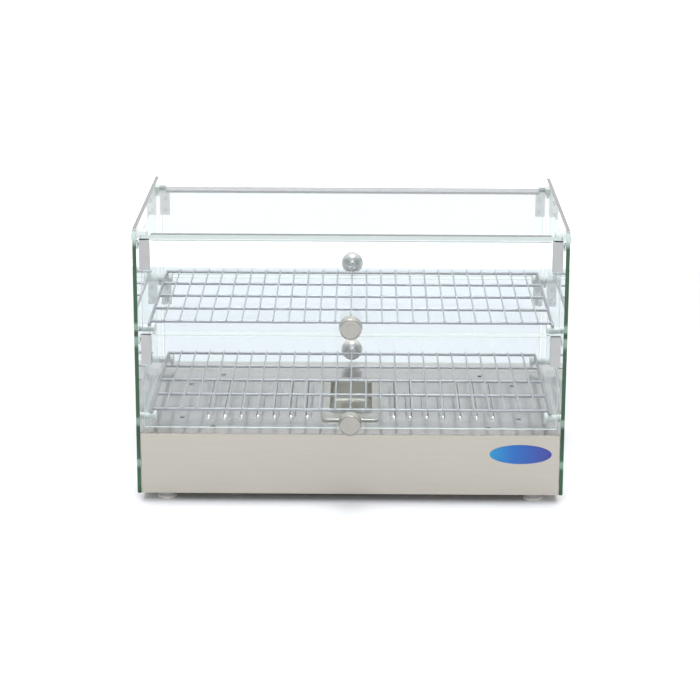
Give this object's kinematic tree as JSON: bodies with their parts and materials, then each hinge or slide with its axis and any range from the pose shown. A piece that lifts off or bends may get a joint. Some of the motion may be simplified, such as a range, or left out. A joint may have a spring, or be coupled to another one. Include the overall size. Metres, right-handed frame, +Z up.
{
  "type": "bakery display case",
  "caption": "Countertop heated glass display case with stainless base, wire shelves, top-hung flap doors at front and rear, and a water tray.",
  "frame": {"origin": "centre of the footprint of the whole object, on the surface that the feet stand on", "axes": "+X to the right seen from the front, +Y from the front doors to the rear doors, +Z up"},
  "size_m": [0.554, 0.376, 0.361],
  "materials": {
    "clear_glass": "clear float glass with ground green edges",
    "hinge_steel": "satin",
    "screw_steel": "plain",
    "polished_knob": "turned and polished",
    "bush_plastic": "natural nylon",
    "clamp_metal": "pale satin nickel",
    "rail_steel": "satin",
    "chromed_wire": "chromed wire",
    "peg_metal": "pale satin nickel",
    "satin_stainless": "fine horizontal satin grain",
    "polished_stainless": "bright annealed, nearly mirror",
    "tray_stainless": "drawn and polished",
    "badge_plastic": "blue gloss",
    "foot_rubber": "soft grey",
    "heater_steel": "heat tinted",
    "galvanised_sheet": "mill finish",
    "thermostat_body": "matt",
    "capillary_copper": "copper",
    "knob_plastic": "fine texture",
    "switch_plastic": "gloss",
    "rocker_plastic": "translucent red",
    "lamp_lens": "amber lens",
    "gland_plastic": "matt",
    "terminal_plastic": "matt",
    "wire_insulation": "silicone sleeve"
  },
  "bodies": {
    "case": {"side_glass_right": "clear_glass", "side_glass_left": "clear_glass", "top_glass": "clear_glass", "shelf_peg_screws": "screw_steel", "deck_screws": "screw_steel", "base_screws": "screw_steel", "foot_screws": "screw_steel", "pivot_bushes": "bush_plastic", "roof_clamps_front": "clamp_metal", "roof_clamps_rear": "clamp_metal", "roof_clamp_bolts": "clamp_metal", "front_top_rail": "rail_steel", "rear_top_rail": "rail_steel", "shelf_pegs": "peg_metal", "base_housing": "satin_stainless", "rear_panel": "satin_stainless", "bottom_plate": "satin_stainless", "deck": "polished_stainless", "badge": "badge_plastic", "feet": "foot_rubber", "heating_element_right": "heater_steel", "heating_element_left": "heater_steel", "heater_brackets": "galvanised_sheet", "heat_shield": "galvanised_sheet", "thermostat": "thermostat_body", "thermostat_bulb": "capillary_copper", "switch_housing": "switch_plastic", "pilot_lamp": "lamp_lens", "cord_gland": "gland_plastic", "terminal_block": "terminal_plastic", "internal_wiring": "wire_insulation"},
    "upper_front_door": {"upper_front_door_glass": "clear_glass", "upper_front_hinge_right": "hinge_steel", "upper_front_hinge_left": "hinge_steel", "upper_front_hinge_screws": "screw_steel", "upper_front_door_knob": "polished_knob", "upper_front_knob_screw": "screw_steel"},
    "lower_front_door": {"lower_front_door_glass": "clear_glass", "lower_front_hinge_right": "hinge_steel", "lower_front_hinge_left": "hinge_steel", "lower_front_hinge_screws": "screw_steel", "lower_front_door_knob": "polished_knob", "lower_front_knob_screw": "screw_steel"},
    "upper_rear_door": {"upper_rear_door_glass": "clear_glass", "upper_rear_hinge_right": "hinge_steel", "upper_rear_hinge_left": "hinge_steel", "upper_rear_hinge_screws": "screw_steel", "upper_rear_door_knob": "polished_knob", "upper_rear_knob_screw": "screw_steel"},
    "lower_rear_door": {"lower_rear_door_glass": "clear_glass", "lower_rear_hinge_right": "hinge_steel", "lower_rear_hinge_left": "hinge_steel", "lower_rear_hinge_screws": "screw_steel", "lower_rear_door_knob": "polished_knob", "lower_rear_knob_screw": "screw_steel"},
    "upper_shelf": {"upper_shelf": "chromed_wire"},
    "lower_shelf": {"lower_shelf": "chromed_wire"},
    "water_tray": {"water_tray": "tray_stainless"},
    "thermostat_knob": {"thermostat_knob": "knob_plastic"},
    "switch_rocker": {"switch_rocker": "rocker_plastic"}
  },
  "joints": [
    {"name": "upper_front_door_hinge", "type": "hinge", "parent": "case", "child": "upper_front_door", "pos_m": [0, -0.1535, 0.339], "axis": [-1, 0, 0], "range_deg": [0, 100]},
    {"name": "lower_front_door_hinge", "type": "hinge", "parent": "case", "child": "lower_front_door", "pos_m": [0, -0.1535, 0.215], "axis": [-1, 0, 0], "range_deg": [0, 100]},
    {"name": "upper_rear_door_hinge", "type": "hinge", "parent": "case", "child": "upper_rear_door", "pos_m": [0, 0.1525, 0.339], "axis": [1, 0, 0], "range_deg": [0, 100]},
    {"name": "lower_rear_door_hinge", "type": "hinge", "parent": "case", "child": "lower_rear_door", "pos_m": [0, 0.1525, 0.215], "axis": [1, 0, 0], "range_deg": [0, 100]},
    {"name": "upper_shelf_lift", "type": "slide", "parent": "case", "child": "upper_shelf", "axis": [0, 0, 1], "range_m": [0, 0.05]},
    {"name": "lower_shelf_lift", "type": "slide", "parent": "case", "child": "lower_shelf", "axis": [0, 0, 1], "range_m": [0, 0.05]},
    {"name": "water_tray_lift", "type": "slide", "parent": "case", "child": "water_tray", "axis": [0, 0, 1], "range_m": [0, 0.013]},
    {"name": "thermostat_turn", "type": "hinge", "parent": "case", "child": "thermostat_knob", "pos_m": [0.128, 0.178, 0.05], "axis": [0, 1, 0], "range_deg": [0, 270]},
    {"name": "switch_rock", "type": "hinge", "parent": "case", "child": "switch_rocker", "pos_m": [0.205, 0.167, 0.05], "axis": [1, 0, 0], "range_deg": [0, 16]}
  ]
}
